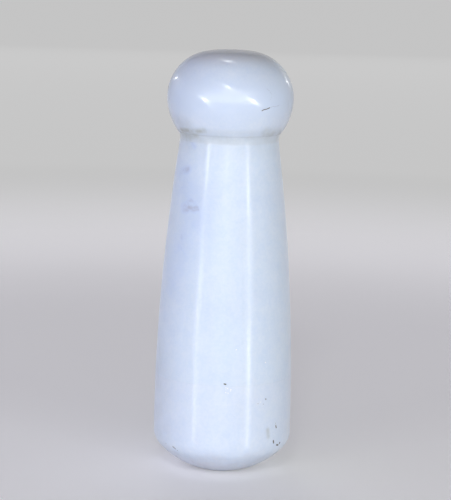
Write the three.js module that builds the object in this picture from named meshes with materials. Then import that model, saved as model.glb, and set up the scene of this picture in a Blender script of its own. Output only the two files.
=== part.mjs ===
// Marble pestle, standing on the flat foot of its grinding end, in millimetres with +Z up.
// Knob, handle and grinding head are three stones turned to one outline. They are bonded end to end
// over steel dowels, so the two joints show as the crease under the knob and a fine ring lower down.

import * as THREE from "three";

// Lengths of the three stones, from joint to joint along the axis.
const HEAD_HEIGHT = 35.2;
const HANDLE_LENGTH = 86.3;
const KNOB_HEIGHT = 30.5;

// Grinding head: a flat foot, a shallow dome, a rounded edge and the widest ring.
const FOOT_DIAMETER = 18.8;
const DOME_RADIUS = 32;
const DOME_EDGE_RADIUS = 7.5;
const WIDEST_DIAMETER = 49.9;
const WIDEST_HEIGHT = 17.8;

// Neck, where the handle's long arc and the knob's belly meet, and the knob above it.
const NECK_DIAMETER = 34.8;
const KNOB_DIAMETER = 45.2;
const KNOB_RING_ABOVE_NECK = 13.5;
const KNOB_CROWN_RADIUS = 60;

// Dowels inside the joints, each half in one stone and half in the next.
const NECK_DOWEL_DIAMETER = 8;
const NECK_DOWEL_LENGTH = 34;
const HEAD_DOWEL_DIAMETER = 10;
const HEAD_DOWEL_LENGTH = 38;
const DOWEL_CHAMFER = 0.8;

// Resin: a film between the seats, a sleeve round each dowel and a coved bead in the neck crease.
const FILM_THICKNESS = 0.25;
const SLEEVE_WALL = 0.75;
const NECK_BEAD_RADIUS = 5;
const RING_RECESS = 0.05;

// Room between the resin and what it bonds, and past the ends of a dowel.
const BOND_CLEARANCE = 0.03;
const BORE_END_ROOM = 1;

// Facets round the axis, and the longest turn of one facet along an arc.
const FACETS_ROUND = 48;
const ARC_STEP = THREE.MathUtils.degToRad(6);
const LEAST_ARC_STEPS = 3;
const HANDLE_ARC_STEPS = 10;

const headJoint = HEAD_HEIGHT;
const neckJoint = headJoint + HANDLE_LENGTH;
const topHeight = neckJoint + KNOB_HEIGHT;
const seatOffset = FILM_THICKNESS / 2 + BOND_CLEARANCE;

// Profile points hold the radius in x and the height in y.
const point = (radius, height) => new THREE.Vector2(radius, height);

// Radius of the arc that stands upright at one point and passes through the other.
function uprightArcRadius(upright, through) {
  const inward = upright.x - through.x;
  const rise = upright.y - through.y;
  return (inward ** 2 + rise ** 2) / (2 * inward);
}

// The lower right crossing of two circles, given by centre and radius.
function lowerCrossing(first, firstRadius, second, secondRadius) {
  const along = second.clone().sub(first);
  const distance = along.length();
  along.divideScalar(distance);
  const reach = (distance ** 2 + firstRadius ** 2 - secondRadius ** 2) / (2 * distance);
  const half = Math.sqrt(firstRadius ** 2 - reach ** 2);
  const middle = first.clone().addScaledVector(along, reach);
  const across = point(-along.y, along.x);
  const crossings = [half, -half].map((shift) => middle.clone().addScaledVector(across, shift));
  return crossings.filter((crossing) => crossing.x > 0).sort((a, b) => a.y - b.y)[0];
}

// The point of a circle that lies in the direction of a target.
function toward(centre, radius, target) {
  return target.clone().sub(centre).setLength(radius).add(centre);
}

// The right-hand point of a circle at a given height.
function atHeight(centre, radius, height) {
  return point(centre.x + Math.sqrt(radius ** 2 - (height - centre.y) ** 2), height);
}

// Points of the short arc from start to end about a centre.
function arc(centre, start, end, steps) {
  const from = start.clone().sub(centre).angle();
  const to = end.clone().sub(centre).angle();
  const sweep = THREE.MathUtils.euclideanModulo(to - from + Math.PI, 2 * Math.PI) - Math.PI;
  const count = steps ?? Math.max(LEAST_ARC_STEPS, Math.ceil(Math.abs(sweep) / ARC_STEP));
  const radius = centre.distanceTo(start);
  const curve = new THREE.ArcCurve(centre.x, centre.y, radius, from, from + sweep, sweep < 0);
  return [start, ...curve.getPoints(count).slice(1, -1), end];
}

// The long side arc stands upright at the widest ring and runs up to the neck.
const widestRing = point(WIDEST_DIAMETER / 2, WIDEST_HEIGHT);
const neckRing = point(NECK_DIAMETER / 2, neckJoint);
const sideRadius = uprightArcRadius(widestRing, neckRing);
const sideCentre = point(widestRing.x - sideRadius, widestRing.y);

// The knob's belly arc runs from the neck out to the knob ring, where it stands upright.
const knobRing = point(KNOB_DIAMETER / 2, neckJoint + KNOB_RING_ABOVE_NECK);
const bellyRadius = uprightArcRadius(knobRing, neckRing);
const bellyCentre = point(knobRing.x - bellyRadius, knobRing.y);

// The shoulder arc is upright at the knob ring and runs smoothly into the flatter crown.
const crownRise = topHeight - knobRing.y;
const crownCentre = point(0, topHeight - KNOB_CROWN_RADIUS);
const shoulderRadius =
  (2 * KNOB_CROWN_RADIUS * crownRise - crownRise ** 2 - knobRing.x ** 2) /
  (2 * (KNOB_CROWN_RADIUS - knobRing.x));
const shoulderCentre = point(knobRing.x - shoulderRadius, knobRing.y);

// The rounded edge of the grinding head touches both the dome and the side arc.
const footEdge = point(FOOT_DIAMETER / 2, 0);
const domeCentre = point(0, Math.sqrt(DOME_RADIUS ** 2 - footEdge.x ** 2));
const edgeCentre = lowerCrossing(
  domeCentre, DOME_RADIUS - DOME_EDGE_RADIUS,
  sideCentre, sideRadius - DOME_EDGE_RADIUS,
);

// A bore takes half a dowel, its sleeve and some room at the end.
const sleeveInside = (dowelDiameter) => dowelDiameter / 2 + BOND_CLEARANCE;
const sleeveOutside = (dowelDiameter) => sleeveInside(dowelDiameter) + SLEEVE_WALL;
const boreRadius = (dowelDiameter) => sleeveOutside(dowelDiameter) + BOND_CLEARANCE;
const boreDepth = (dowelLength) => dowelLength / 2 + BORE_END_ROOM;

function material(color, roughness, metalness) {
  return new THREE.MeshStandardMaterial({ color, roughness, metalness });
}

// One turned piece: its profile runs up the outside and down the inside.
function turned(name, profile, look) {
  const mesh = new THREE.Mesh(new THREE.LatheGeometry(profile, FACETS_ROUND), look);
  mesh.name = name;
  return mesh;
}

function grindingHead() {
  const seat = atHeight(sideCentre, sideRadius, headJoint - seatOffset);
  const bore = boreRadius(HEAD_DOWEL_DIAMETER);
  const boreFloor = headJoint - boreDepth(HEAD_DOWEL_LENGTH);
  const edgeStart = toward(domeCentre, DOME_RADIUS, edgeCentre);
  const edgeEnd = toward(sideCentre, sideRadius, edgeCentre);
  const profile = [
    point(0, 0),
    ...arc(domeCentre, footEdge, edgeStart),
    ...arc(edgeCentre, edgeStart, edgeEnd).slice(1),
    ...arc(sideCentre, edgeEnd, seat).slice(1),
    point(bore, seat.y),
    point(bore, boreFloor),
    point(0, boreFloor),
  ];
  return turned("grinding_head", profile, material(0xe3e9f2, 0.3, 0));
}

function handleShaft() {
  const lowerSeat = atHeight(sideCentre, sideRadius, headJoint + seatOffset);
  const upperSeat = atHeight(sideCentre, sideRadius, neckJoint - seatOffset);
  const lowerBore = boreRadius(HEAD_DOWEL_DIAMETER);
  const upperBore = boreRadius(NECK_DOWEL_DIAMETER);
  const lowerBoreRoof = headJoint + boreDepth(HEAD_DOWEL_LENGTH);
  const upperBoreFloor = neckJoint - boreDepth(NECK_DOWEL_LENGTH);
  const profile = [
    point(0, lowerBoreRoof),
    point(lowerBore, lowerBoreRoof),
    point(lowerBore, lowerSeat.y),
    ...arc(sideCentre, lowerSeat, upperSeat, HANDLE_ARC_STEPS),
    point(upperBore, upperSeat.y),
    point(upperBore, upperBoreFloor),
    point(0, upperBoreFloor),
  ];
  return turned("handle_shaft", profile, material(0xe6edf8, 0.25, 0));
}

function knob() {
  const seat = atHeight(bellyCentre, bellyRadius, neckJoint + seatOffset);
  const bore = boreRadius(NECK_DOWEL_DIAMETER);
  const boreRoof = neckJoint + boreDepth(NECK_DOWEL_LENGTH);
  const crownEdge = toward(crownCentre, KNOB_CROWN_RADIUS, shoulderCentre);
  const profile = [
    point(0, boreRoof),
    point(bore, boreRoof),
    point(bore, seat.y),
    ...arc(bellyCentre, seat, knobRing),
    ...arc(shoulderCentre, knobRing, crownEdge).slice(1),
    ...arc(crownCentre, crownEdge, point(0, topHeight)).slice(1),
  ];
  return turned("knob", profile, material(0xdde4ee, 0.25, 0));
}

function dowel(name, diameter, length, joint) {
  const radius = diameter / 2;
  const half = length / 2;
  const profile = [
    point(0, -half),
    point(radius - DOWEL_CHAMFER, -half),
    point(radius, DOWEL_CHAMFER - half),
    point(radius, half - DOWEL_CHAMFER),
    point(radius - DOWEL_CHAMFER, half),
    point(0, half),
  ];
  const mesh = turned(name, profile, material(0xb4b8bd, 0.35, 1));
  mesh.position.y = joint;
  return mesh;
}

// Cured resin of one joint: a sleeve as long as the dowel, with the film standing out of its middle.
// The rim is the film's outer edge, drawn from its lower face to its upper face.
function bond(name, diameter, length, joint, rim) {
  const inside = sleeveInside(diameter);
  const outside = sleeveOutside(diameter);
  const low = joint - length / 2;
  const high = joint + length / 2;
  const profile = [
    point(inside, low),
    point(outside, low),
    point(outside, joint - FILM_THICKNESS / 2),
    ...rim,
    point(outside, joint + FILM_THICKNESS / 2),
    point(outside, high),
    point(inside, high),
    point(inside, low),
  ];
  return turned(name, profile, material(0xc6c9c4, 0.5, 0));
}

// The lower film stops just short of the surface and leaves the fine ring.
function headBond() {
  const ringRadius = atHeight(sideCentre, sideRadius, headJoint).x - RING_RECESS;
  const rim = [
    point(ringRadius, headJoint - FILM_THICKNESS / 2),
    point(ringRadius, headJoint + FILM_THICKNESS / 2),
  ];
  return bond("head_bond", HEAD_DOWEL_DIAMETER, HEAD_DOWEL_LENGTH, headJoint, rim);
}

// The neck film swells into a bead that fills the crease with a cove from handle to belly.
function neckBond() {
  const sideReach = sideRadius + BOND_CLEARANCE;
  const bellyReach = bellyRadius + BOND_CLEARANCE;
  const coveCentre = lowerCrossing(
    bellyCentre, bellyReach + NECK_BEAD_RADIUS,
    sideCentre, sideReach + NECK_BEAD_RADIUS,
  );
  const filmLow = atHeight(sideCentre, sideReach, neckJoint - FILM_THICKNESS / 2);
  const filmHigh = atHeight(bellyCentre, bellyReach, neckJoint + FILM_THICKNESS / 2);
  const coveLow = toward(sideCentre, sideReach, coveCentre);
  const coveHigh = toward(bellyCentre, bellyReach, coveCentre);
  const rim = [
    ...arc(sideCentre, filmLow, coveLow),
    ...arc(coveCentre, coveLow, coveHigh).slice(1),
    ...arc(bellyCentre, coveHigh, filmHigh).slice(1),
  ];
  return bond("neck_bond", NECK_DOWEL_DIAMETER, NECK_DOWEL_LENGTH, neckJoint, rim);
}

// A lathe turns about Y, so the whole pestle is tipped up to stand along Z.
const pestle = new THREE.Group();
pestle.rotation.x = Math.PI / 2;
pestle.add(
  grindingHead(),
  handleShaft(),
  knob(),
  dowel("head_dowel", HEAD_DOWEL_DIAMETER, HEAD_DOWEL_LENGTH, headJoint),
  dowel("neck_dowel", NECK_DOWEL_DIAMETER, NECK_DOWEL_LENGTH, neckJoint),
  headBond(),
  neckBond(),
);

export default pestle;
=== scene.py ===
# %% [markdown]
# # A marble pestle
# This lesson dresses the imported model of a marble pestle: three stones turned to one outline, bonded end
# to end with resin over steel dowels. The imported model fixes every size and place. Here the stones get
# their fine surface, their marks of use and their polish, and then a floor, lamps and a camera.

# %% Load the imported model
import math
import random

import bpy
import numpy as np
from mathutils import Matrix, Vector


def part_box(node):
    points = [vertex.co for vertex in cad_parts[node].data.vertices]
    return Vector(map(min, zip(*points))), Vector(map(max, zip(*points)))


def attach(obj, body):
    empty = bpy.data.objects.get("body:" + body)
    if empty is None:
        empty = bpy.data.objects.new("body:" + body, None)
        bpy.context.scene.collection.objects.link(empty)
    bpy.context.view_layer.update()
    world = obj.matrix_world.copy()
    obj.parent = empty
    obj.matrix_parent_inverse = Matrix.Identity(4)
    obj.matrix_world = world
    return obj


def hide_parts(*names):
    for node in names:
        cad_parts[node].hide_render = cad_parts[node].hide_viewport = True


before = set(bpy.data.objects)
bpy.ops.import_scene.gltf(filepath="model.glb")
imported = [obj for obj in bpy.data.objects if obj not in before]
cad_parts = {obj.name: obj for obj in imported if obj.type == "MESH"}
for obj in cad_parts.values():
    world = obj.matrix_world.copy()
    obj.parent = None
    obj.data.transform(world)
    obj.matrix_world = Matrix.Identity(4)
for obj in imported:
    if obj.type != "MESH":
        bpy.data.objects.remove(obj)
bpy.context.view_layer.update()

bpy.ops.object.select_all(action="DESELECT")
print("nodes:", sorted(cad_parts))

# %% [markdown]
# ## Measures
# A turner works from a drawing of half the outline. The heights of the joints and the largest radii are
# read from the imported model, so the stones always fit it. The radii of the arcs between them can't be read
# from a box, so they are written down here as they are on the drawing.

# %% Heights and radii
MM = 0.001
head_low, head_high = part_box("grinding_head")
handle_low, handle_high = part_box("handle_shaft")
knob_low, knob_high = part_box("knob")
RING_JOINT = (head_high.z + handle_low.z) / 2
NECK_JOINT = (handle_high.z + knob_low.z) / 2
TOP_ROOM = 0.002 * MM
CROWN_HEIGHT = knob_high.z - TOP_ROOM

FOOT_RADIUS = 9.4 * MM
DOME_RADIUS = 32 * MM
DOME_EDGE_RADIUS = 7.5 * MM
WIDEST_HEIGHT = 17.8 * MM
NECK_RADIUS = 17.4 * MM
KNOB_RING_RISE = 13.5 * MM
CROWN_RADIUS = 60 * MM

widest_ring = Vector((head_high.x, WIDEST_HEIGHT))
neck_ring = Vector((NECK_RADIUS, NECK_JOINT))
knob_ring = Vector((knob_high.x, NECK_JOINT + KNOB_RING_RISE))
print("joints at", round(RING_JOINT / MM, 3), "and", round(NECK_JOINT / MM, 3), "mm")
print("widest", round(widest_ring.x * 2 / MM, 3), "mm, knob", round(knob_ring.x * 2 / MM, 3), "mm across")

# %% [markdown]
# ## One outline of touching arcs
# Dome, rounded edge, long side, belly, shoulder and crown are arcs, and all but the crease at the neck run
# smoothly into each other. Each arc is kept as the centre and radius of its circle. The outline could be
# drawn freehand, but then light would break at every join: touching arcs give the calm, unbroken
# reflections of a stone that was ground in one piece.

# %% Circles of the outline


def upright_arc(upright, through):
    """Centre and radius of the arc that stands upright at one point and passes through another."""
    inward, rise = upright - through
    radius = (inward ** 2 + rise ** 2) / (2 * inward)
    return Vector((upright.x - radius, upright.y)), radius


def crossing(first, first_radius, second, second_radius):
    """The lower right point at which two circles cross."""
    apart = (second - first).length
    along = (second - first) / apart
    reach = (apart ** 2 + first_radius ** 2 - second_radius ** 2) / (2 * apart)
    half = math.sqrt(first_radius ** 2 - reach ** 2)
    both = [first + along * reach + along.orthogonal() * side for side in (half, -half)]
    return min((place for place in both if place.x > 0), key=lambda place: place.y)


def toward(circle, target):
    """The point of a circle that lies in the direction of a target."""
    centre, radius = circle
    return centre + (target - centre).normalized() * radius


def at_height(circle, height):
    """The right-hand point of a circle at a height."""
    centre, radius = circle
    return Vector((centre.x + math.sqrt(max(0, radius ** 2 - (height - centre.y) ** 2)), height))


side = upright_arc(widest_ring, neck_ring)
belly = upright_arc(knob_ring, neck_ring)
crown = Vector((0, CROWN_HEIGHT - CROWN_RADIUS)), CROWN_RADIUS
crown_rise = CROWN_HEIGHT - knob_ring.y
shoulder_radius = (2 * CROWN_RADIUS * crown_rise - crown_rise ** 2 - knob_ring.x ** 2) / (
    2 * (CROWN_RADIUS - knob_ring.x)
)
shoulder = Vector((knob_ring.x - shoulder_radius, knob_ring.y)), shoulder_radius
dome = Vector((0, math.sqrt(DOME_RADIUS ** 2 - FOOT_RADIUS ** 2))), DOME_RADIUS
edge_centre = crossing(dome[0], DOME_RADIUS - DOME_EDGE_RADIUS, side[0], side[1] - DOME_EDGE_RADIUS)
dome_edge = edge_centre, DOME_EDGE_RADIUS

dome_end = toward(dome, edge_centre)
side_start = toward(side, edge_centre)
crown_start = toward(crown, shoulder[0])
print("side arc", round(side[1] / MM, 1), "mm, belly", round(belly[1] / MM, 1), "mm, shoulder",
      round(shoulder_radius / MM, 1), "mm")

# %% [markdown]
# ## Turning on the lathe
# Every piece here is a turned form, so each is made the same way. A tiny plane is merged to one point, the
# half outline grows from it stroke by stroke, and the finished outline is spun round the upright axis.
# Straight strokes are extrusions and arcs are spins about their own centre, so a drawing can be followed
# exactly. A Screw modifier would do as well, but Spin leaves a plain mesh that can be edited at once.

# %% Lathe helpers
SIDES = 240
RING_STEP = 0.65 * MM
MERGE_GAP = 0.001 * MM
CREASE_ANGLE = math.radians(35)


def line(radius, height):
    """A straight stroke to a point of the outline."""
    return None, Vector((radius, height))


def arc(circle, end):
    """A curved stroke along a circle to a point of the outline."""
    return circle[0], end


def draw_arc(centre, start, end):
    """Spins the open end of the outline about a centre, the short way round."""
    sweep = math.atan2(*reversed(end - centre)) - math.atan2(*reversed(start - centre))
    sweep = (sweep + math.pi) % (2 * math.pi) - math.pi
    steps = max(3, math.ceil(abs(sweep) * (start - centre).length / RING_STEP))
    bpy.ops.mesh.spin(steps=steps, angle=sweep, center=(centre.x, 0, centre.y), axis=(0, 1, 0))


def turn_piece(name, start, strokes):
    """Draws a half outline from a start point and turns it into a closed piece."""
    bpy.ops.object.select_all(action="DESELECT")
    bpy.ops.mesh.primitive_plane_add(size=MM)
    piece = bpy.context.object
    piece.name = piece.data.name = name
    bpy.ops.object.mode_set(mode="EDIT")
    bpy.ops.mesh.merge(type="CENTER")
    bpy.ops.transform.translate(value=(start.x, 0, start.y))
    for centre, end in strokes:
        if centre is None:
            step = (end.x - start.x, 0, end.y - start.y)
            bpy.ops.mesh.extrude_region_move(TRANSFORM_OT_translate={"value": step})
        else:
            draw_arc(centre, start, end)
        start = end
    bpy.ops.mesh.select_all(action="SELECT")
    bpy.ops.mesh.spin(steps=SIDES, angle=2 * math.pi, center=(0, 0, 0), axis=(0, 0, 1))
    bpy.ops.mesh.select_all(action="SELECT")
    bpy.ops.mesh.remove_doubles(threshold=MERGE_GAP)
    bpy.ops.mesh.normals_make_consistent(inside=False)
    bpy.ops.object.mode_set(mode="OBJECT")
    bpy.ops.object.shade_smooth_by_angle(angle=CREASE_ANGLE)
    print(name, "has", len(piece.data.vertices), "points and", len(piece.data.polygons), "faces")
    return piece


print("pieces get", SIDES, "sides, with rings about", round(RING_STEP / MM, 2), "mm apart")

# %% [markdown]
# ## The grinding head
# The wide end does the work. It has a small flat foot to stand on, a shallow dome, a rounded edge and the
# start of the long side. A blind bore in its flat seat takes half of a dowel and the resin round it. A
# flattened sphere would come near, but the lathe gives every arc its true radius and the bore with it.

# %% Turn the grinding head
SLEEVE_WALL = 0.75 * MM
BOND_CLEARANCE = 0.03 * MM
BORE_END_ROOM = 1 * MM


def bore_of(dowel):
    """Radius of a dowel's bore, and how far the bore goes from the joint."""
    low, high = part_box(dowel)
    radius = high.x + SLEEVE_WALL + 2 * BOND_CLEARANCE
    return radius, (high.z - low.z) / 2 + BORE_END_ROOM


head_bore, head_bore_depth = bore_of("head_dowel")
head_seat = at_height(side, head_high.z)
turned_head = turn_piece("turned_head", Vector((0, 0)), [
    line(FOOT_RADIUS, 0),
    arc(dome, dome_end),
    arc(dome_edge, side_start),
    arc(side, head_seat),
    line(head_bore, head_seat.y),
    line(head_bore, RING_JOINT - head_bore_depth),
    line(0, RING_JOINT - head_bore_depth),
])

# %% [markdown]
# ## The handle
# The handle is one long arc, nearly straight, that narrows to the neck. It is bored at both ends. A cone
# would be quicker to make, but its side would be flat along its length. The arc is the same circle as the
# side of the grinding head, so the outline runs on across the joint.

# %% Turn the handle
neck_bore, neck_bore_depth = bore_of("neck_dowel")
handle_foot = at_height(side, handle_low.z)
handle_seat = at_height(side, handle_high.z)
turned_handle = turn_piece("turned_handle", Vector((0, RING_JOINT + head_bore_depth)), [
    line(head_bore, RING_JOINT + head_bore_depth),
    line(head_bore, handle_foot.y),
    line(*handle_foot),
    arc(side, handle_seat),
    line(neck_bore, handle_seat.y),
    line(neck_bore, NECK_JOINT - neck_bore_depth),
    line(0, NECK_JOINT - neck_bore_depth),
])

# %% [markdown]
# ## The knob
# The knob fills the palm. Its belly comes out of the neck crease, turns upright at the knob ring, rolls
# over the shoulder and flattens to a broad crown. A UV sphere could be squashed to something like it, but
# three arcs give the slightly square shoulder that the real one has.

# %% Turn the knob
knob_seat = at_height(belly, knob_low.z)
turned_knob = turn_piece("turned_knob", Vector((0, NECK_JOINT + neck_bore_depth)), [
    line(neck_bore, NECK_JOINT + neck_bore_depth),
    line(neck_bore, knob_seat.y),
    line(*knob_seat),
    arc(belly, knob_ring),
    arc(shoulder, crown_start),
    arc(crown, Vector((0, CROWN_HEIGHT))),
])

# %% [markdown]
# ## The resin of the two joints
# Resin holds the stones: a sleeve round each dowel and a thin film between the seats. At the ring the film
# stops just below the surface. At the neck it swells into a small cove that softens the crease, where dirt
# gathers. A torus could stand for the bead, but it would not meet both stones. So the resin is turned like
# them, from a closed outline that ends where it starts.

# %% Turn the resin
BOND_BITE = 0.03 * MM
NECK_BEAD_RADIUS = 5 * MM
RING_RECESS = 0.006 * MM


def turn_bond(name, dowel, film_low, film_high, rim):
    """A sleeve as long as its dowel, with the film standing out of its middle as far as the rim."""
    low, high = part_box(dowel)
    inside = high.x + BOND_CLEARANCE
    outside = inside + SLEEVE_WALL
    return turn_piece(name, Vector((inside, low.z)), [
        line(outside, low.z),
        line(outside, film_low),
        *rim,
        line(outside, film_high),
        line(outside, high.z),
        line(inside, high.z),
        line(inside, low.z),
    ])


ring_radius = at_height(side, RING_JOINT).x - RING_RECESS
ring_low, ring_high = head_seat.y - BOND_BITE, handle_foot.y + BOND_BITE
ring_film = turn_bond("ring_film", "head_dowel", ring_low, ring_high, [
    line(ring_radius, ring_low),
    line(ring_radius, ring_high),
])

neck_low, neck_high = handle_seat.y - BOND_BITE, knob_seat.y + BOND_BITE
side_skin = side[0], side[1] - BOND_BITE
belly_skin = belly[0], belly[1] - BOND_BITE
cove_centre = crossing(
    belly[0], belly_skin[1] + NECK_BEAD_RADIUS, side[0], side_skin[1] + NECK_BEAD_RADIUS
)
cove = cove_centre, NECK_BEAD_RADIUS
neck_bead = turn_bond("neck_bead", "neck_dowel", neck_low, neck_high, [
    line(*at_height(side_skin, neck_low)),
    arc(side_skin, toward(side_skin, cove_centre)),
    arc(cove, toward(belly_skin, cove_centre)),
    arc(belly_skin, at_height(belly_skin, neck_high)),
])

# %% [markdown]
# ## Places on the stone
# Marks are placed by an angle round the axis, counted from the front, and a height. A mark is a short path
# over the surface with a width. The distance of every point of the mesh to that path gives a weight, which
# can push the stone in or carry paint. This is what weight painting does with a brush.

# %% Strokes over the surface
def stone_radius(height):
    """The outside radius of the stone at a height."""
    arcs = ((dome_end.y, dome), (side_start.y, dome_edge), (NECK_JOINT, side),
            (knob_ring.y, belly), (crown_start.y, shoulder), (CROWN_HEIGHT, crown))
    return next((at_height(circle, height).x for top, circle in arcs if height <= top), 0)


def on_stone(azimuth, height):
    """The place at an angle in degrees, counted from the front to the right, and a height in mm."""
    turn = math.radians(azimuth)
    radius = stone_radius(height * MM)
    return np.array((radius * math.sin(turn), -radius * math.cos(turn), height * MM))


def distance_to(places, path):
    """How far every place is from a path over the stone."""
    trail = [on_stone(*spot) for spot in path]
    nearest = np.linalg.norm(places - trail[0], axis=1)
    for start, end in zip(trail, trail[1:]):
        along = end - start
        share = np.clip((places - start) @ along / (along @ along), 0, 1)
        nearest = np.minimum(nearest, np.linalg.norm(places - start - share[:, None] * along, axis=1))
    return nearest


def soft_step(share):
    """A smooth rise from 0 to 1."""
    share = np.clip(share, 0, 1)
    return share * share * (3 - 2 * share)


def stroke(places, path, width):
    """Weight of every place under a stroke: one in its middle, none beyond its width in mm."""
    return soft_step(1 - distance_to(places, path) / (width * MM))


print("radius at the ring joint:", round(stone_radius(RING_JOINT) / MM, 3), "mm")

# %% [markdown]
# ## Chips, pits and the crack
# A used pestle has small chips where it knocked against the mortar, and open pits where a crystal broke
# out. Dirt stays in some of them, and others show the white of crushed grains. Here they are only listed.
# A pit is a short crooked path, so that no two look alike, and a seeded dice places those on the far side.

# %% Marks as data
dice = random.Random(1521)
PIT_POINTS = 3
PIT_CROOK = 0.35
PIT_WIDTH = 0.55
KNOCK_PAINT = (-0.4, 0.8)


class Mark:
    """A chip, pit or crack: its path, width and depth in mm, its dirt and its crushed white, from 0 to 1."""

    def __init__(self, path, width, depth, soil=0.0, bruise=0.0):
        self.path = path
        self.width = width
        self.depth = depth
        self.soil = soil
        self.bruise = bruise


def pit(azimuth, height, across, depth, soil=0.0, bruise=0.0):
    """A ragged pit, made of a short crooked path."""
    spread = math.degrees(across * MM / stone_radius(height * MM)) * PIT_CROOK
    path = [
        (azimuth + dice.uniform(-spread, spread), height + dice.uniform(-PIT_CROOK, PIT_CROOK) * across)
        for _ in range(PIT_POINTS)
    ]
    return Mark(path, across * PIT_WIDTH, depth, soil, bruise)


def knocks(count, azimuths, heights, widths, depths):
    """Scattered small pits, some dirty and some crushed white."""
    return [
        pit(dice.uniform(*azimuths), dice.uniform(*heights), dice.uniform(*widths), dice.uniform(*depths),
            soil=dice.uniform(*KNOCK_PAINT), bruise=dice.uniform(*KNOCK_PAINT))
        for _ in range(count)
    ]


print("a pit is a path of", PIT_POINTS, "points")

# %% [markdown]
# The grinding head has the most marks: pits on the right of the rounded edge, a rubbed patch on the left
# and a scatter of small knocks all round, most of them low down where the stone meets the mortar. Noise
# could scatter them in the material, but a list puts each one where it belongs.

# %% Marks on the grinding head
WHITE_SPECKS = 9
head_marks = [
    Mark([(51.2, 19.0), (51.8, 18.2)], 0.56, 0.16, soil=0.68),
    Mark([(50.6, 20.2), (51.1, 19.3)], 0.45, 0.06, soil=0.34),
    Mark([(48.6, 13.6), (48.9, 12.9)], 0.6, 0.2, soil=0.86),
    pit(54.6, 11.7, 1.0, 0.16, soil=0.8),
    pit(58.2, 12.0, 0.9, 0.16, soil=0.9),
    pit(56.4, 11.2, 0.6, 0.1, soil=0.7),
    pit(38.4, 29.7, 0.8, 0.1, soil=0.5),
    pit(30.6, 28.3, 0.5, 0.08, soil=0.6),
    pit(36.0, 27.9, 0.5, 0.08, soil=0.55),
    pit(33.2, 28.9, 0.5, 0.06, bruise=0.9),
    Mark([(-45.6, 10.6), (-43.2, 10.0)], 0.9, 0.06, soil=0.42),
    pit(-41.6, 9.3, 0.7, 0.1, soil=0.5),
    pit(-55.2, 10.9, 0.6, 0.12, soil=0.5),
]
head_marks += [
    pit(dice.uniform(1.5, 8), dice.uniform(32.6, 34.7), 0.42, 0.04, bruise=0.72) for _ in range(WHITE_SPECKS)
]
head_marks += knocks(14, (75, 285), (5, 13), (0.5, 1.4), (0.06, 0.2))
head_marks += knocks(10, (80, 280), (13, 33), (0.4, 1.0), (0.05, 0.14))
print("grinding head:", len(head_marks), "marks")

# %% [markdown]
# The handle is cleaner. One dark pit sits on the ring, with a few white specks near it, where a grain was
# crushed and did not break out. A short crack runs round the right of the knob. It starts dark and closes
# to a hairline. A faint loop above it is an old natural seam in the marble. A dark line of paint would do
# from afar, but a groove also breaks the highlight that crosses it.

# %% Marks on the handle and the knob
handle_marks = [
    Mark([(0.9, 36.0), (2.3, 35.9)], 0.36, 0.2, soil=1),
    pit(10.5, 48.4, 0.5, 0.06, bruise=1),
    pit(37.3, 43.0, 0.5, 0.06, bruise=1),
]
handle_marks += knocks(16, (80, 280), (38, 116), (0.4, 0.9), (0.04, 0.12))
knob_marks = [
    Mark([(29.6, 132.3), (31.6, 132.7), (34.0, 132.8), (37.8, 133.3)], 0.3, 0.15, soil=0.84),
    Mark([(37.8, 133.3), (41.4, 133.7), (45.4, 133.6), (49.6, 134.0)], 0.22, 0.06, soil=0.45),
    Mark([(35.2, 139.9), (38.0, 139.1), (40.0, 137.7), (39.4, 136.6), (37.6, 136.0)], 0.26, 0.03, soil=0.34),
]
knob_marks += knocks(9, (85, 275), (125, 146), (0.4, 0.8), (0.04, 0.1))
print("handle:", len(handle_marks), "marks, knob:", len(knob_marks), "marks")

# %% [markdown]
# ## A finer mesh where the marks go
# A pit of half a millimetre needs small faces. Subdividing a whole stone would be wasteful, so only the
# faces round each mark are subdivided. The new points lie on the old flat faces, so every outside point is
# then brought back to the outline, as a turner trues a piece.

# %% Refine and true
FINE_CUTS = 3
FINE_REACH = 0.9 * MM
SKIN_DEPTH = 1.2 * MM
POLE_REACH = 1 * MM


def points_of(piece):
    """Every point of a piece, as rows of x, y and z."""
    places = np.empty(len(piece.data.vertices) * 3)
    piece.data.vertices.foreach_get("co", places)
    return places.reshape(-1, 3)


def activate(piece):
    """Selects one piece alone."""
    bpy.ops.object.select_all(action="DESELECT")
    bpy.context.view_layer.objects.active = piece
    piece.select_set(True)


def skin_of(places):
    """Which places lie on the outside, their distance from the axis, and the outline's radius there."""
    around = np.hypot(places[:, 0], places[:, 1])
    outline = np.array([stone_radius(min(max(height, 0), CROWN_HEIGHT)) for height in places[:, 2]])
    return (around > outline - SKIN_DEPTH) & (around > POLE_REACH), around, outline


def refine_near(piece, marks):
    """Subdivides the faces round the marks and trues the outside again."""
    centres = np.empty(len(piece.data.polygons) * 3)
    piece.data.polygons.foreach_get("center", centres)
    near = np.zeros(len(piece.data.polygons), bool)
    for mark in marks:
        near |= distance_to(centres.reshape(-1, 3), mark.path) < mark.width * MM + FINE_REACH
    activate(piece)
    bpy.ops.object.mode_set(mode="EDIT")
    bpy.ops.mesh.select_mode(type="FACE")
    bpy.ops.mesh.select_all(action="DESELECT")
    bpy.ops.object.mode_set(mode="OBJECT")
    piece.data.polygons.foreach_set("select", near)
    bpy.ops.object.mode_set(mode="EDIT")
    bpy.ops.mesh.subdivide(number_cuts=FINE_CUTS)
    bpy.ops.mesh.select_mode(type="VERT")
    bpy.ops.mesh.select_all(action="DESELECT")
    bpy.ops.object.mode_set(mode="OBJECT")
    places = points_of(piece)
    outside, around, outline = skin_of(places)
    places[outside, :2] *= (outline[outside] / around[outside])[:, None]
    piece.data.vertices.foreach_set("co", places.ravel())
    piece.data.update()
    print(piece.name, "now has", len(piece.data.polygons), "faces")


marked_stones = ((turned_head, head_marks), (turned_handle, handle_marks), (turned_knob, knob_marks))
for stone, marks in marked_stones:
    refine_near(stone, marks)

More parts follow.
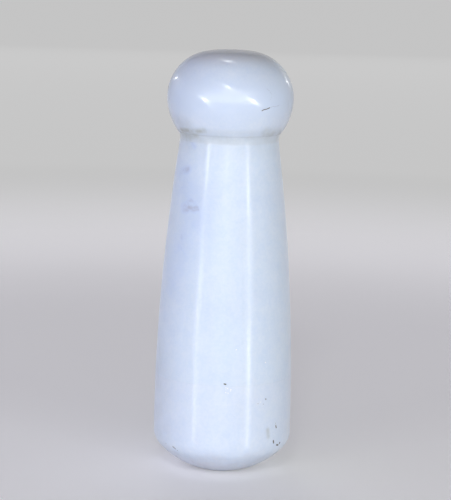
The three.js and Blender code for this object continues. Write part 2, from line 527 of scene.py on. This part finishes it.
# %% [markdown]
# ## The unevenness of hand polish
# A stone that is held against a polishing pad by hand is never quite true: reflections wander a little. A
# Displace modifier with soft clouds pushes the outside in by a few hundredths of a millimetre, never out,
# so the pestle stays inside its box. A vertex group holds only the outside, and its weights fade towards
# the joints and the foot, where the stones were trued together.

# %% Uneven outside
POLISH_DEPTH = 0.1 * MM
POLISH_GRAIN = 26 * MM
BEAD_DEPTH = 0.03 * MM
BEAD_GRAIN = 3 * MM
TRUE_BAND = 2.6 * MM
FADE_BAND = 5 * MM


def soft_clouds(name, grain):
    """A cloud texture with patches of about the given size."""
    texture = bpy.data.textures.new(name, "CLOUDS")
    texture.noise_scale = grain
    texture.noise_depth = 1
    return texture


def weigh(piece, name, weights):
    """Stores weights above zero in a new vertex group."""
    group = piece.vertex_groups.new(name=name)
    for index in np.flatnonzero(weights > 0):
        group.add([int(index)], float(min(weights[index], 1)), "REPLACE")
    return group


def press_in(piece, group, depth, texture=None):
    """Pushes a vertex group in along the normals, by a texture or by its weights alone."""
    activate(piece)
    modifier = piece.modifiers.new("press_in", "DISPLACE")
    modifier.vertex_group = group.name
    modifier.texture = texture
    modifier.texture_coords = "LOCAL"
    modifier.mid_level = 1 if texture else 0
    modifier.strength = depth if texture else -depth
    bpy.ops.object.modifier_apply(modifier=modifier.name)


def polish_by_hand(piece, texture):
    """Gives the outside of a stone the slow waves of hand polish."""
    places = points_of(piece)
    outside = skin_of(places)[0] | (places[:, 2] > CROWN_HEIGHT - SKIN_DEPTH)
    from_joint = np.minimum.reduce([np.abs(places[:, 2] - joint) for joint in (0, RING_JOINT, NECK_JOINT)])
    group = weigh(piece, "outside", outside * soft_step((from_joint - TRUE_BAND) / FADE_BAND))
    press_in(piece, group, POLISH_DEPTH, texture)
    print(piece.name, "moved in by up to", round(np.abs(points_of(piece) - places).max() / MM, 3), "mm")


polish_clouds = soft_clouds("polish_clouds", POLISH_GRAIN)
for stone, marks in marked_stones:
    polish_by_hand(stone, polish_clouds)

bead_skin = skin_of(points_of(neck_bead))[0]
bead_group = weigh(neck_bead, "outside", bead_skin * 1.0)
press_in(neck_bead, bead_group, BEAD_DEPTH, soft_clouds("bead_clouds", BEAD_GRAIN))

# %% [markdown]
# ## Cutting the marks
# A vertex group takes the strokes of all the marks as weights, and one Displace modifier pushes them in at
# once. The same strokes are stored as attributes called soil and bruise, which the marble reads later. An
# attribute is better than a vertex colour here, because it holds one plain number.

# %% Cut the marks
MARK_DEPTH = 0.35 * MM


def layer_of(piece, name):
    """The piece's paint layer of that name, one value for each point."""
    return piece.data.attributes.get(name) or piece.data.attributes.new(name, "FLOAT", "POINT")


def paint(piece, name, values):
    """Adds paint to a layer, where the new paint is the stronger."""
    layer = layer_of(piece, name)
    held = np.empty(len(piece.data.vertices))
    layer.data.foreach_get("value", held)
    layer.data.foreach_set("value", np.maximum(held, values))


def cut_marks(piece, marks):
    """Cuts the marks into a stone and paints their dirt and their crushed white."""
    places = points_of(piece)
    depth, soil, bruise = np.zeros((3, len(places)))
    for mark in marks:
        weight = stroke(places, mark.path, mark.width)
        depth = np.maximum(depth, weight * mark.depth * MM / MARK_DEPTH)
        soil = np.maximum(soil, weight * mark.soil)
        bruise = np.maximum(bruise, weight * mark.bruise)
    press_in(piece, weigh(piece, "marks", depth), MARK_DEPTH)
    paint(piece, "soil", soil)
    paint(piece, "bruise", bruise)
    print(piece.name, "has", int((depth > 0).sum()), "points in marks")


for stone, marks in marked_stones:
    cut_marks(stone, marks)

# %% [markdown]
# ## The grey drifts in the marble
# White marble holds drifts of grey, where other minerals lie between the crystals. One drift comes down
# the left of the handle, pale and broad, with a few small dark patches in it. Others lie on the far side.
# Noise alone would put such drifts anywhere, so their paths are listed and painted into an attribute, each
# with a width in mm and a strength, and the marble breaks up their edges with noise.

# %% Paint the drifts
def drift(piece, path, width, strength):
    """Paints a soft drift along a path into the layer called vein."""
    paint(piece, "vein", stroke(points_of(piece), path, width) * strength)


for stone, marks in marked_stones:
    for name in ("vein", "haze", "grime_and_shade"):
        layer_of(stone, name)
drift(turned_handle, [(-66, 108), (-48, 104), (-34, 98), (-30, 90), (-42, 84), (-52, 72)], 11, 0.3)
drift(turned_handle, [(-72, 107.6), (-60, 109.2), (-50, 110.2)], 3.6, 0.6)
drift(turned_handle, [(-49, 96.2), (-45.2, 98.9), (-40, 99.6), (-34, 98.7), (-30.5, 96.8)], 2, 0.62)
drift(turned_handle, [(-47, 97.2), (-36, 97.4)], 4.4, 0.7)
drift(turned_handle, [(-28.6, 95.4), (-24, 94.2)], 1.4, 0.36)
drift(turned_handle, [(-48, 86.6), (-46, 85.4)], 2.2, 0.48)
drift(turned_handle, [(-50.6, 83), (-47, 82.2)], 2.4, 0.5)
drift(turned_handle, [(-52, 120.8), (-48, 120), (-43, 118.4)], 1.6, 0.5)
drift(turned_handle, [(152, 108), (140, 92), (158, 74), (150, 58)], 12, 0.34)
drift(turned_handle, [(146, 100), (141, 94), (147, 88)], 3.4, 0.55)
drift(turned_handle, [(158, 70), (163, 63)], 3, 0.5)
drift(turned_handle, [(222, 62), (236, 48), (250, 36)], 10, 0.32)
drift(turned_handle, [(230, 55), (236, 50)], 2.8, 0.5)
drift(turned_head, [(250, 36), (258, 24), (255, 14)], 9, 0.32)
drift(turned_knob, [(170, 146), (190, 138), (205, 128)], 8, 0.32)
print("drifts on", [stone.name for stone, marks in marked_stones])

# %% [markdown]
# ## Haze of the grip
# Where a hand closes round the handle, the polish goes dull first, and the drift never took a full polish
# because it is softer than the marble round it. Both break the long highlights. Noise in the roughness
# would dull the whole stone, so the haze is painted, as a layer that only makes the surface rougher.

# %% Paint the haze
def haze(piece, path, width, strength):
    """Dulls the polish along a path."""
    paint(piece, "haze", stroke(points_of(piece), path, width) * strength)


haze(turned_handle, [(21, 119), (21, 116)], 5, 0.8)
haze(turned_handle, [(21, 113), (21, 98)], 5, 0.3)
haze(turned_handle, [(21, 92), (20, 76), (21, 60)], 10, 0.9)
haze(turned_handle, [(-20, 101), (-24, 92), (-25, 80)], 9, 1)
haze(turned_handle, [(-25, 68), (-26, 54), (-27, 40)], 8, 0.7)
haze(turned_handle, [(-52, 100), (-50, 82)], 9, 0.8)
haze(turned_knob, [(20, 135.5), (25, 132)], 6, 0.24)
haze(turned_handle, [(100, 88), (150, 70), (200, 84), (260, 66)], 11, 0.8)
print("layers:", [layer.name for layer in turned_handle.data.attributes if layer.data_type == "FLOAT"])

# %% [markdown]
# ## Grime and painted shade in the neck crease
# Cooking oil and spice dust settle in the crease and stay there as an olive grey film, thicker in some
# places than in others, and the film also darkens the crease as its shade would, so it is partly painted
# shade. The film runs over the stone and the resin alike, so each smear is painted on all three pieces that
# meet there. The material adds the thin film that goes all the way round, a little way down the handle. Two
# more films are painted lower down: a spot of grime on the head, and a very thin painted shade on the left
# of the head and the handle.

# %% Paint the smears
neck_pieces = (turned_handle, neck_bead, turned_knob)


def smear(path, width, strength, pieces=neck_pieces):
    """Paints a dark smear over the pieces that meet at the neck unless others are named; one of them is
    painted shade.
    """
    for piece in pieces:
        paint(piece, "grime_and_shade", stroke(points_of(piece), path, width) * strength)


smear([(-76, 127.2), (-60, 126.8), (-46, 126.4)], 4.2, 0.24)
smear([(-80, 121.8), (-60, 122), (-42, 122.6)], 4.6, 0.8)
smear([(-62, 123.7), (-50, 124.1), (-38, 124.2), (-27, 124.6)], 2, 0.9)
smear([(40, 123.6), (56, 123), (78, 122.4)], 4.4, 0.55)
smear([(17, 121.7), (40, 121.4), (62, 121.2)], 0.9, 0.7)
smear([(-60, 118.4), (-47, 118.2)], 3, 0.26)
smear([(95, 123.5), (120, 124.4), (150, 123.6)], 1.8, 0.6)
smear([(185, 123.2), (205, 122.6), (230, 123.8)], 1.6, 0.55)
smear([(250, 124.2), (275, 123.4)], 1.7, 0.5)
smear([(41.2, 18.2), (42.1, 15.6)], 1.4, 0.5, [turned_head])
# Painted shade: a faint grey haze down the left of the head and the handle, where that side turns from the
# lamps.
smear([(-70, 42), (-66, 12)], 14, 0.2, [turned_head, turned_handle])
print("smears on", [piece.name for piece in neck_pieces])

# %% [markdown]
# ## Node helpers
# A material is a small machine of nodes. It could be wired by hand in the Shader Editor, but a recipe in
# words is easier to read and to repeat. A few helpers keep the recipes short: one adds a node and feeds
# its sockets with numbers or with the outputs of other nodes, and the rest add the kinds that come up often.

# %% Node helpers
def feed(tree, node, inputs):
    """Feeds the sockets of a node with values or with outputs."""
    for name, value in inputs.items():
        socket = node.inputs[name]
        if isinstance(value, bpy.types.NodeSocket):
            tree.links.new(value, socket)
        else:
            socket.default_value = value


def add(tree, kind, inputs=None, **options):
    """Adds a shader node, sets its options and feeds its sockets."""
    node = tree.nodes.new("ShaderNode" + kind)
    for name, value in options.items():
        setattr(node, name, value)
    feed(tree, node, inputs or {})
    return node


def mix(tree, factor, first, second, blend="MIX"):
    """The output of a colour mix."""
    node = add(tree, "MixRGB", {"Fac": factor, "Color1": first, "Color2": second}, blend_type=blend)
    return node.outputs["Color"]


def noise(tree, coords, scale, detail=3.0, rough=0.5, swirl=0.0):
    """The output of a noise with values from 0 to 1. Its scale counts the patches in a metre."""
    inputs = {"Vector": coords, "Scale": scale, "Detail": detail, "Roughness": rough, "Distortion": swirl}
    return add(tree, "TexNoise", inputs).outputs["Fac"]


def span(tree, value, low, high, to_low=0.0, to_high=1.0):
    """Stretches the part of a value between two limits to another range, softly at both ends."""
    inputs = {"Value": value, "From Min": low, "From Max": high, "To Min": to_low, "To Max": to_high}
    return add(tree, "MapRange", inputs, interpolation_type="SMOOTHSTEP").outputs["Result"]


def math_of(tree, operation, first, second):
    """The result of one sum on two values."""
    return add(tree, "Math", {0: first, 1: second}, operation=operation).outputs["Value"]


def band(tree, height, rise, fall, strength=1.0):
    """A soft band round the stone: it comes in between two heights and fades out between two others."""
    coming_in = span(tree, height, *rise, 0.0, strength)
    return math_of(tree, "MULTIPLY", coming_in, span(tree, height, *fall))


def painted(tree, layer):
    """The value of a painted layer."""
    return add(tree, "Attribute", attribute_name=layer).outputs["Fac"]


def new_material(name):
    """A fresh material with its shader."""
    material = bpy.data.materials.new(name)
    material.use_nodes = True
    return material, material.node_tree, material.node_tree.nodes["Principled BSDF"]


# %% [markdown]
# ## The tone of the marble
# White marble is a mass of crystals, and no two patches of it are quite the same white. The knob is greyer
# round its middle, where a palm rubs it, and its crown is darker and warmer: that is painted shade, for the
# top that faces up and gets little light. One flat colour would look like plastic, and a picture would
# stretch over the round stone. So three sizes of noise in the stone's own coordinates lie over each other:
# broad clouds between two whites, fine crystals and a mottle.

# %% Tones
HANDLE_TONES = (0.68, 0.785, 0.915, 1), (0.652, 0.755, 0.895, 1)
HEAD_TONES = (0.693, 0.786, 0.914, 1), (0.666, 0.76, 0.894, 1)
PALM_GREY = (0.637, 0.742, 0.895, 1)
CROWN_SHADE_GREY = (0.68, 0.66, 0.62, 1)
CLOUDS_PER_METRE = 34
CRYSTALS_PER_METRE = 900
MOTTLE_PER_METRE = 230
GRAIN_STRENGTH = 0.05
PALM_RISE = 126 * MM, 135 * MM
PALM_FALL = 146 * MM, 137 * MM
CROWN_RISE = 146 * MM, 151 * MM
CROWN_SHADE_STRENGTH = 0.45


def stone_tone(tree, coords, height, tones, handled_and_crown_shaded):
    """Two whites in clouds, with crystals and a mottle, the palm grey of the knob and painted shade on its
    crown.
    """
    clouds = noise(tree, coords, CLOUDS_PER_METRE, 4, 0.55, 0.8)
    colour = mix(tree, span(tree, clouds, 0.42, 0.72), *tones)
    for scale, detail in ((CRYSTALS_PER_METRE, 2), (MOTTLE_PER_METRE, 4)):
        grains = span(tree, noise(tree, coords, scale, detail, 0.6), 0.3, 0.7)
        colour = mix(tree, GRAIN_STRENGTH, colour, grains, "OVERLAY")
    if handled_and_crown_shaded:
        colour = mix(tree, band(tree, height, PALM_RISE, PALM_FALL), colour, PALM_GREY)
        # Painted shade: the crown that faces up is darkened and warmed, as little light reaches it from
        # above.
        colour = mix(tree, span(tree, height, *CROWN_RISE, 0.0, CROWN_SHADE_STRENGTH), colour, CROWN_SHADE_GREY)
    return colour


print("crystals of about", round(1000 / CRYSTALS_PER_METRE, 1), "mm")

# %% [markdown]
# ## Drift, grime, wear and painted shade
# The painted layers lie over the tone: the grey drifts, the olive grey film in the neck crease with its
# smears, which is partly grime and partly painted shade of the crease, and the dull grey of the dome, which
# is partly wear from the mortar and partly painted shade, darker towards the floor. Paint with a smooth edge
# looks sprayed on, so noise breaks up each layer before it colours the stone.

# %% Drift, grime, wear and painted shade
DRIFT_BLUE = (0.5, 0.63, 0.92, 1)
DRIFT_GREY = (0.4, 0.45, 0.6, 1)
NECK_GRIME_AND_SHADE = (0.415, 0.452, 0.42, 1)
RAGS_PER_METRE = 190
STREAKS_PER_METRE = 210
SCUFFS_PER_METRE = 120
# The thin and thick bands darken the whole crease and a little below it: partly grime, partly painted shade.
THIN_RISE = 112 * MM, 120.5 * MM
THIN_FALL = 126.2 * MM, 124.2 * MM
THICK_RISE = 118.4 * MM, 120.8 * MM
THICK_FALL = 124 * MM, 122.4 * MM
THIN_GRIME_AND_SHADE, THICK_GRIME_AND_SHADE = 0.15, 0.36
SCUFF_HEIGHT = 6 * MM
WEAR_AND_SHADE_FALL = 14 * MM, 4 * MM


def with_drift(tree, coords, colour):
    """Mixes in the painted drifts, bluish where they are thin and grey where they are thick."""
    ragged = span(tree, noise(tree, coords, RAGS_PER_METRE, 5, 0.62, 0.6), 0.3, 0.68, 0.5, 1.15)
    thick = math_of(tree, "MULTIPLY", painted(tree, "vein"), ragged)
    return mix(tree, thick, colour, mix(tree, span(tree, thick, 0.3, 0.75), DRIFT_BLUE, DRIFT_GREY))


def with_grime_and_shade(tree, coords, height, colour):
    """Mixes in dirt and painted shade: a thin film all round the crease, thicker at its middle, and the
    painted smears.
    """
    streaky = noise(tree, coords, STREAKS_PER_METRE, 4, 0.6)
    thin = band(tree, height, THIN_RISE, THIN_FALL, THIN_GRIME_AND_SHADE)
    thick = band(tree, height, THICK_RISE, THICK_FALL, THICK_GRIME_AND_SHADE)
    film = math_of(tree, "MAXIMUM", thin, thick)
    film = math_of(tree, "MULTIPLY", film, span(tree, streaky, 0.3, 0.75, 0.75, 1.2))
    smears = math_of(tree, "MULTIPLY", painted(tree, "grime_and_shade"), span(tree, streaky, 0.28, 0.68, 0.4, 1.0))
    return mix(tree, math_of(tree, "MAXIMUM", film, smears), colour, NECK_GRIME_AND_SHADE)


def dome_wear_and_shade(tree, coords, height):
    """How worn and how shaded the dome is, from 0 to 1, rising towards the foot, with an uneven upper edge.
    """
    scuffs = span(tree, noise(tree, coords, SCUFFS_PER_METRE, 5, 0.65), 0.3, 0.7)
    ragged_height = math_of(tree, "ADD", height, math_of(tree, "MULTIPLY", scuffs, SCUFF_HEIGHT))
    return span(tree, ragged_height, *WEAR_AND_SHADE_FALL)


print("grime from", round(THIN_RISE[0] / MM), "to", round(THIN_FALL[0] / MM), "mm up the stone")

# %% [markdown]
# ## Polish, and where it is lost
# The polish is a little uneven all over. It is duller in the painted haze and on the worn dome, and the
# marks have none left. Roughness alone says all of this, so it is one sum of layers. Fine grit in the
# edges of the marks keeps them ragged.

# %% Roughness
GRIT_PER_METRE = 2600
GRIT_STRENGTH = 0.5
PATCHES_PER_METRE = 60
POLISH_SPREAD = 0.015
WEAR_DULLS = 0.6
HAZE_ROUGHNESS = 0.11
SOIL_ROUGHNESS = 0.7
BRUISE_ROUGHNESS = 0.5


def in_marks(tree, coords, layer):
    """A painted layer of the marks, with a gritty edge."""
    grit = math_of(tree, "MULTIPLY", noise(tree, coords, GRIT_PER_METRE, 3, 0.6), GRIT_STRENGTH)
    return span(tree, math_of(tree, "ADD", painted(tree, layer), grit), 0.42, 0.85)


def stone_roughness(tree, coords, gloss, wear_and_shade, soil, bruise):
    """The roughness of the polish, of its dull places and of the marks."""
    patches = noise(tree, coords, PATCHES_PER_METRE, 4, 0.6)
    rough = span(tree, patches, 0.3, 0.75, gloss, gloss + POLISH_SPREAD)
    dull = math_of(tree, "MAXIMUM", math_of(tree, "MULTIPLY", wear_and_shade, WEAR_DULLS), painted(tree, "haze"))
    rough = math_of(tree, "ADD", rough, math_of(tree, "MULTIPLY", dull, HAZE_ROUGHNESS))
    dirty = math_of(tree, "MULTIPLY", soil, SOIL_ROUGHNESS)
    crushed = math_of(tree, "MULTIPLY", bruise, BRUISE_ROUGHNESS)
    return math_of(tree, "MAXIMUM", rough, math_of(tree, "MAXIMUM", dirty, crushed))


print("haze adds up to", HAZE_ROUGHNESS, "to the roughness")

# %% [markdown]
# ## Polished marble
# Light goes into marble, spreads between the crystals and comes out again: that is the subsurface weight.
# The last polishing strokes leave fine lines, and a lamp's reflection is drawn out across them: the
# shader's anisotropy, with a tangent about an axis, does that. On the handle and the head the strokes ran
# round the upright axis, so reflections stand long and upright. The knob was polished slantwise, and its
# tangent turns about the axis from side to side: about the upright one, all the lines would meet at the
# crown and leave a ring in the light there. The knob also has a thin wax from the hand, a coat that gives
# its highlights a core.

# %% Marble
SOIL_BROWN = (0.13, 0.115, 0.1, 1)
CRUSHED_WHITE = (0.96, 0.97, 0.99, 1)
DOME_WEAR_AND_SHADE_GREY = (0.65, 0.64, 0.69, 1)
DOME_WEAR_AND_SHADE_STRENGTH = 0.55
MARBLE_IOR = 1.6
INNER_GLOW = 0.4
GLOW_REACH = (1.0, 0.9, 0.8)
GLOW_DEPTH = 0.8 * MM
WAX_ROUGHNESS = 0.19
RIPPLES_PER_METRE = 420
RIPPLE_STRENGTH = 0.01
RIPPLE_DEPTH = 0.2 * MM
ROUND_THE_AXIS = {"axis": "Z", "turn": 0.25, "stretch": 0.95}
SLANTED = {"axis": "X", "turn": 0.144, "stretch": 0.85}


def polished(name, tones, gloss, strokes=ROUND_THE_AXIS, glow=INNER_GLOW, wax=0, rubbed_and_shaded=False, handled_and_crown_shaded=False):
    """A polished finish: its tones, roughness and last strokes, its glow and wax, its signs of use and its
    painted shade.
    """
    material, tree, shader = new_material(name)
    coords = add(tree, "TexCoord").outputs["Object"]
    height = add(tree, "SeparateXYZ", {"Vector": coords}).outputs["Z"]
    wear_and_shade = dome_wear_and_shade(tree, coords, height) if rubbed_and_shaded else 0.0
    soil = in_marks(tree, coords, "soil")
    bruise = in_marks(tree, coords, "bruise")

    colour = stone_tone(tree, coords, height, tones, handled_and_crown_shaded)
    colour = with_drift(tree, coords, colour)
    colour = with_grime_and_shade(tree, coords, height, colour)
    # Painted shade and wear: the dome greys towards the foot, partly worn by the mortar and partly the
    # floor's shade painted in.
    colour = mix(tree, math_of(tree, "MULTIPLY", wear_and_shade, DOME_WEAR_AND_SHADE_STRENGTH), colour, DOME_WEAR_AND_SHADE_GREY)
    colour = mix(tree, bruise, colour, CRUSHED_WHITE)
    colour = mix(tree, soil, colour, SOIL_BROWN)

    ripples = noise(tree, coords, RIPPLES_PER_METRE, 3, 0.5)
    bump = add(tree, "Bump", {"Height": ripples, "Strength": RIPPLE_STRENGTH, "Distance": RIPPLE_DEPTH})
    tangent = add(tree, "Tangent", direction_type="RADIAL", axis=strokes["axis"])
    feed(tree, shader, {
        "Base Color": colour,
        "Roughness": stone_roughness(tree, coords, gloss, wear_and_shade, soil, bruise),
        "Normal": bump.outputs["Normal"],
        "Tangent": tangent.outputs["Tangent"],
        "Anisotropic": strokes["stretch"],
        "Anisotropic Rotation": strokes["turn"],
        "IOR": MARBLE_IOR,
        "Subsurface Weight": glow,
        "Subsurface Radius": GLOW_REACH,
        "Subsurface Scale": GLOW_DEPTH,
        "Coat Weight": wax,
        "Coat Roughness": WAX_ROUGHNESS,
    })
    return material


handle_marble = polished("polished_handle", HANDLE_TONES, gloss=0.28)
knob_marble = polished("polished_knob", HEAD_TONES, gloss=0.216, strokes=SLANTED, wax=0.34, handled_and_crown_shaded=True)
head_marble = polished("polished_head", HEAD_TONES, gloss=0.28, rubbed_and_shaded=True)
turned_handle.data.materials.append(handle_marble)
turned_knob.data.materials.append(knob_marble)
turned_head.data.materials.append(head_marble)
print("marbles:", [stone.active_material.name for stone, marks in marked_stones])

# %% [markdown]
# ## Resin and steel
# The resin was tinted to match the stone and was polished with it, so it takes the same finish in its own
# tones, a little greyer than the marble and with no glow. The dowels are ground steel rod and are hidden,
# but they are finished too. A wave texture would give even rings, and a grinding wheel leaves uneven ones,
# so the rings come from noise that is squeezed along the axis.

# %% Resin and steel
RESIN_TONES = (0.675, 0.775, 0.9, 1), (0.648, 0.745, 0.868, 1)
STEEL_DARK = (0.46, 0.48, 0.5, 1)
STEEL_BRIGHT = (0.6, 0.62, 0.64, 1)
STEEL_ROUGHNESS = 0.28, 0.45
RING_SQUEEZE = (40, 40, 4000)
RING_STRENGTH = 0.2
RING_DEPTH = 0.05 * MM


def ground_steel(name):
    """Steel rod with fine rings from the grinding wheel."""
    material, tree, shader = new_material(name)
    coords = add(tree, "TexCoord").outputs["Object"]
    squeezed = add(tree, "Mapping", {"Vector": coords, "Scale": RING_SQUEEZE}).outputs["Vector"]
    rings = noise(tree, squeezed, 1, 4, 0.6)
    bump = add(tree, "Bump", {"Height": rings, "Strength": RING_STRENGTH, "Distance": RING_DEPTH})
    feed(tree, shader, {
        "Base Color": mix(tree, rings, STEEL_DARK, STEEL_BRIGHT),
        "Roughness": span(tree, rings, 0.2, 0.8, *STEEL_ROUGHNESS),
        "Normal": bump.outputs["Normal"],
        "Metallic": 1,
    })
    return material


neck_bead.data.materials.append(polished("neck_bead_resin", RESIN_TONES, gloss=0.3, glow=0))
ring_film.data.materials.append(polished("ring_film_resin", RESIN_TONES, gloss=0.34, glow=0))
dowel_steel = ground_steel("ground_steel")
for node in ("head_dowel", "neck_dowel"):
    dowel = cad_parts[node]
    dowel.data.materials.clear()
    dowel.data.materials.append(dowel_steel)
print("resins:", [bond.active_material.name for bond in (neck_bead, ring_film)], "and", dowel_steel.name)

# %% [markdown]
# ## Fitting the pieces to the imported model
# Every piece rides on the one body of the pestle and stands for the node that it replaces, which is hidden.
# Parenting by hand would move the pieces as well, but it would not say what they stand for. The dowels
# keep their own shape from the imported model.

# %% Ride and replace
fitted = (
    (turned_head, "grinding_head", "head_marble"),
    (turned_handle, "handle_shaft", "handle_marble"),
    (turned_knob, "knob", "knob_marble"),
    (ring_film, "head_bond", "head_resin"),
    (neck_bead, "neck_bond", "neck_resin"),
)
for piece, node, slot in fitted:
    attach(piece, "root")
    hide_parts(node)
    print(piece.name, "stands for", node)

# %% [markdown]
# ## Floor
# The pestle stands on a plain pale floor. Close by, the floor takes the shadow. Further off, a pale floor
# would throw light up at the stone and clip to white when it is seen against the lamps. So its paint
# darkens with the distance, and a little glow lifts it back to a pale tone for the camera and for mirrors
# alone, which the Light Path node can tell apart. A curved sheet of backdrop paper would do for one view,
# but not for all sides.

# %% Floor
FLOOR_SIZE = 14
FLOOR_DROP = 0.02 * MM
FLOOR_TONES = (0.84, 0.84, 0.84, 1), (0.88, 0.88, 0.88, 1)
FLOOR_FAR = (0.03, 0.03, 0.03, 1)
FLOOR_GLOW = (1, 1, 1, 1)
FADE_DISTANCE = 0.42, 0.85
LIFT_DISTANCE = 0.25, 0.9
LIFT_RANGE = 0.12, 0.55


def seen_directly(tree):
    """One for what the camera sees, also in a mirror or through glass, and none for the light in the room."""
    ray = add(tree, "LightPath").outputs
    mirrored = math_of(tree, "MAXIMUM", ray["Is Glossy Ray"], ray["Is Transmission Ray"])
    return math_of(tree, "MAXIMUM", ray["Is Camera Ray"], mirrored)


bpy.ops.object.select_all(action="DESELECT")
bpy.ops.mesh.primitive_plane_add(size=FLOOR_SIZE, location=(0, 0, -FLOOR_DROP))
floor = bpy.context.object
floor.name = "pale_floor"
floor_paint, tree, shader = new_material("floor_paint")
floor_coords = add(tree, "TexCoord").outputs["Object"]
from_pestle = add(tree, "VectorMath", {0: floor_coords}, operation="LENGTH").outputs["Value"]
floor_tone = mix(tree, noise(tree, floor_coords, 3), *FLOOR_TONES)
lift = span(tree, from_pestle, *LIFT_DISTANCE, *LIFT_RANGE)
feed(tree, shader, {
    "Base Color": mix(tree, span(tree, from_pestle, *FADE_DISTANCE), floor_tone, FLOOR_FAR),
    "Roughness": 1,
    "Specular IOR Level": 0,
    "Emission Color": FLOOR_GLOW,
    "Emission Strength": math_of(tree, "MULTIPLY", lift, seen_directly(tree)),
})
floor.data.materials.append(floor_paint)
print("floor", FLOOR_SIZE, "m across")

# %% [markdown]
# ## Lamps
# White stone needs shade to show its form. Two broad panels light the front, and the sides stay dimmer.
# Two compact lamps left and right of the camera draw the long highlights down the handle and the short
# ones on the knob. One above and three behind are small and give the glints. The last broad panel fills
# the back, and it is hidden from reflections so that the front doesn't mirror it along its edges. Sun
# lamps would be simpler, but a polished stone shows the size of every lamp, so each is a flat rectangle.
# The level is plain, so that the marble renders about as its colours are written.

# %% Lamps
AIM = Vector((0, 0, 0.085))


def softbox(name, azimuth, elevation, distance, width, height, brightness):
    """A flat lamp that faces the pestle, placed by the direction it comes from, in degrees and metres."""
    turn, rise = math.radians(azimuth), math.radians(elevation)
    away = Vector((math.sin(turn) * math.cos(rise), -math.cos(turn) * math.cos(rise), math.sin(rise)))
    bpy.ops.object.light_add(type="AREA", location=AIM + away * distance)
    lamp = bpy.context.object
    lamp.name = lamp.data.name = name
    lamp.rotation_euler = away.to_track_quat("Z", "Y").to_euler()
    lamp.data.shape = "RECTANGLE"
    lamp.data.size = width
    lamp.data.size_y = height
    lamp.data.energy = brightness * math.pi * width * height
    lamp.visible_camera = False
    return lamp


# Name, azimuth, elevation, distance, width, height and brightness.
softbox("low_panel", -2.6, 3, 1.3, 2.65, 0.25, 2.71)
softbox("front_panel", -2.6, 19.5, 1.3, 2.65, 0.5, 1.45)
softbox("left_lamp", -46.9, 1, 1.2, 0.108, 0.125, 38)
softbox("right_lamp", 42.5, 0.8, 1.2, 0.108, 0.125, 51)
softbox("top_lamp", -5.2, 34.4, 1.2, 0.1, 0.08, 42)
softbox("back_lamp", -171, 71, 1.2, 0.1, 0.05, 26)
softbox("left_rim", -138, 16, 1.2, 0.05, 0.07, 16)
softbox("right_rim", 142, 13.5, 1.2, 0.05, 0.05, 17)
back_fill = softbox("back_fill", 180, 12, 2.2, 3, 0.8, 3)
back_fill.visible_glossy = False

# %% [markdown]
# ## The room
# The rest of the studio is the world. It lights the sides of the stone: the left wall is dim and bluish,
# the right one is pale and warm, the one behind is grey, and it is dark overhead, more so on the right. A
# photographed room would be richer, but a few mixed tones are easier to steer. The camera and the polish
# see a plain pale backdrop in place of the walls, with the dark room above it.

# %% Room
WALL_LEFT = (0.415, 0.39, 0.58, 1)
WALL_RIGHT = (0.995, 0.935, 0.91, 1)
WALL_BEHIND = (0.42, 0.4, 0.36, 1)
OVERHEAD = (0.05, 0.05, 0.05, 1)
BACKDROP = (0.56, 0.56, 0.56, 1)
WALL_TILT = 0.37
SIDE_TURN = -0.5, 0.5
BEHIND_TURN = 0.55, 0.95
WALL_TOP = 0.2, 0.9
BACKDROP_TOP = 0.14, 0.6

sky = bpy.data.worlds.new("studio")
bpy.context.scene.world = sky
sky.use_nodes = True
tree = sky.node_tree
toward_sky = add(tree, "SeparateXYZ", {"Vector": add(tree, "TexCoord").outputs["Generated"]}).outputs
walls = mix(tree, span(tree, toward_sky["X"], *SIDE_TURN), WALL_LEFT, WALL_RIGHT)
walls = mix(tree, span(tree, toward_sky["Y"], *BEHIND_TURN), walls, WALL_BEHIND)
tilted = math_of(tree, "ADD", toward_sky["Z"], math_of(tree, "MULTIPLY", toward_sky["X"], WALL_TILT))
room = mix(tree, span(tree, tilted, *WALL_TOP), walls, OVERHEAD)
backdrop = mix(tree, span(tree, toward_sky["Z"], *BACKDROP_TOP), BACKDROP, OVERHEAD)
room = mix(tree, seen_directly(tree), room, backdrop)
tree.links.new(room, tree.nodes["Background"].inputs["Color"])
print("world:", sky.name)

# %% [markdown]
# ## Camera
# The camera stands a little above the pestle and looks down at it, with a long lens, and is rolled by a
# degree or two, so the pestle leans slightly in the frame. A Track To constraint would aim it, but would
# also take out the roll, so its place and turns are written as one matrix. The focal length is in pixels
# of the frame.

# %% Camera
CAMERA_DISTANCE = 0.7
CAMERA_HEIGHT = 0.198399
PITCH = math.radians(-9.621)
YAW = math.radians(0.03)
ROLL = math.radians(1.514)
FRAME_HEIGHT = 500
FOCAL_LENGTH = 1965.857
SENSOR = 36

camera_data = bpy.data.cameras.new("camera")
camera_data.sensor_width = SENSOR
camera_data.lens = FOCAL_LENGTH / FRAME_HEIGHT * SENSOR
camera = bpy.data.objects.new("camera", camera_data)
bpy.context.scene.collection.objects.link(camera)
camera.matrix_world = (
    Matrix.Translation((0, -CAMERA_DISTANCE, CAMERA_HEIGHT))
    @ Matrix.Rotation(YAW, 4, "Z")
    @ Matrix.Rotation(math.pi / 2 + PITCH, 4, "X")
    @ Matrix.Rotation(ROLL, 4, "Z")
)
bpy.context.scene.camera = camera
bpy.context.scene.view_settings.view_transform = "Standard"
print("lens", round(camera_data.lens, 2), "mm")
